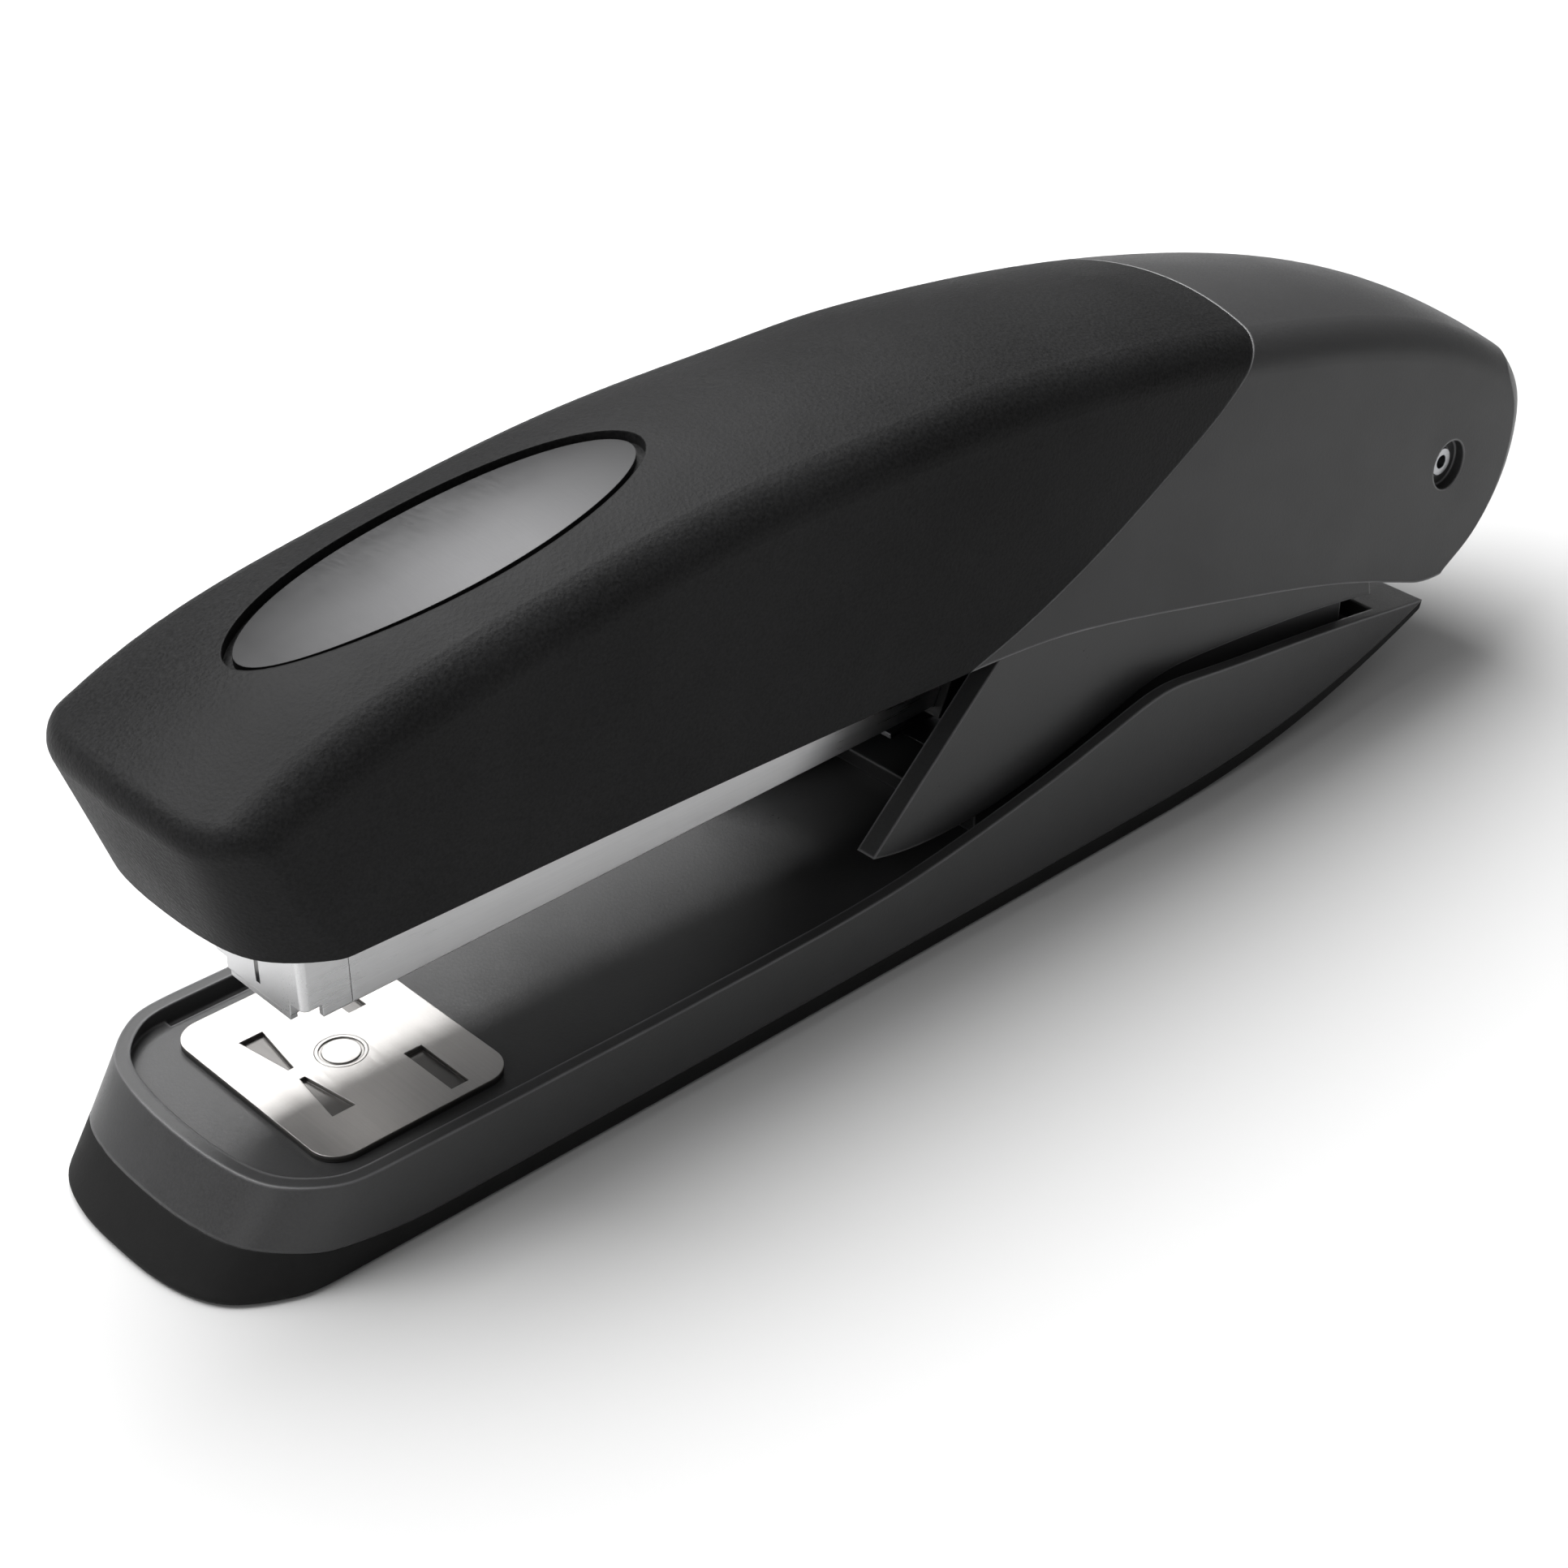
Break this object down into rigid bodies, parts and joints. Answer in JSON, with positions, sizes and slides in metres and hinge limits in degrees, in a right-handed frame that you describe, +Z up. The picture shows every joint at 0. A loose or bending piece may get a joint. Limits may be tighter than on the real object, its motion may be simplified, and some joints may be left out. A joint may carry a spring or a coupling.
{
  "type": "stapler",
  "caption": "Full-strip desk stapler with a long arched arm, oval badge recess, steel magazine, turning anvil and rubber-footed base.",
  "frame": {"origin": "middle of the footprint, on the surface the rubber foot rests on", "axes": "+Z up, +X towards the hinge end, -X towards the stapling nose, symmetric about the XZ plane"},
  "size_m": [0.1892, 0.0352, 0.0603],
  "materials": {
    "cover_black": "soft matte with a fine grain",
    "housing_grey": "satin",
    "base_grey": "satin",
    "foot_rubber": "matte",
    "sleeve_black": "matte",
    "magazine_steel": "satin, cold rolled",
    "inner_steel": "zinc plated",
    "spring_steel": "drawn wire and strip",
    "anvil_steel": "polished nickel",
    "badge_silver": "brushed",
    "pusher_plastic": "satin"
  },
  "bodies": {
    "base": {"base_shell": "base_grey", "base_foot": "foot_rubber", "base_plate": "inner_steel", "hinge_bracket": "inner_steel", "bracket_rivets": "inner_steel", "hinge_fairing": "base_grey", "pivot_pin": "inner_steel", "lift_spring": "spring_steel", "lift_spring_rivet": "inner_steel", "anvil_spring": "spring_steel"},
    "anvil_lift": {"anvil_spring_cup": "inner_steel"},
    "anvil": {"anvil_plate": "anvil_steel", "anvil_post": "anvil_steel", "anvil_button": "housing_grey"},
    "magazine": {"magazine_channel": "magazine_steel", "magazine_nose": "magazine_steel", "staple_rail": "inner_steel", "guide_rod": "inner_steel", "rod_anchors": "inner_steel", "magazine_sleeve": "sleeve_black", "pivot_bush": "inner_steel", "pusher_spring": "spring_steel"},
    "pusher": {"staple_pusher": "pusher_plastic"},
    "handle": {"front_cover": "cover_black", "rear_cover": "housing_grey", "badge_plate": "badge_silver", "handle_frame": "inner_steel", "driver_blade": "spring_steel", "blade_rivets": "inner_steel", "handle_spring": "spring_steel", "handle_spring_rivets": "inner_steel", "cover_screws": "inner_steel"}
  },
  "joints": [
    {"name": "magazine_hinge", "type": "hinge", "parent": "base", "child": "magazine", "pos_m": [0.075, 0, 0.0266], "axis": [0, 1, 0], "range_deg": [-3.2, 5], "stiffness_Nm_per_rad": 3, "deforming": ["lift_spring"]},
    {"name": "handle_hinge", "type": "hinge", "parent": "magazine", "child": "handle", "pos_m": [0.075, 0, 0.0266], "axis": [0, 1, 0], "range_deg": [-2.85, 45], "stiffness_Nm_per_rad": 1, "deforming": ["handle_spring"]},
    {"name": "pusher_slide", "type": "slide", "parent": "magazine", "child": "pusher", "axis": [0.9999, 0, 0.0131], "range_m": [0, 0.1], "stiffness_N_per_m": 20, "springref_m": -0.02, "deforming": ["pusher_spring"]},
    {"name": "anvil_press", "type": "slide", "parent": "base", "child": "anvil_lift", "axis": [0, 0, 1], "range_m": [0, 0.001], "stiffness_N_per_m": 1500, "deforming": ["anvil_spring"]},
    {"name": "anvil_turn", "type": "hinge", "parent": "anvil_lift", "child": "anvil", "pos_m": [-0.069, 0, 0.0092], "axis": [0, 0, 1], "range_deg": [0, 180]}
  ]
}
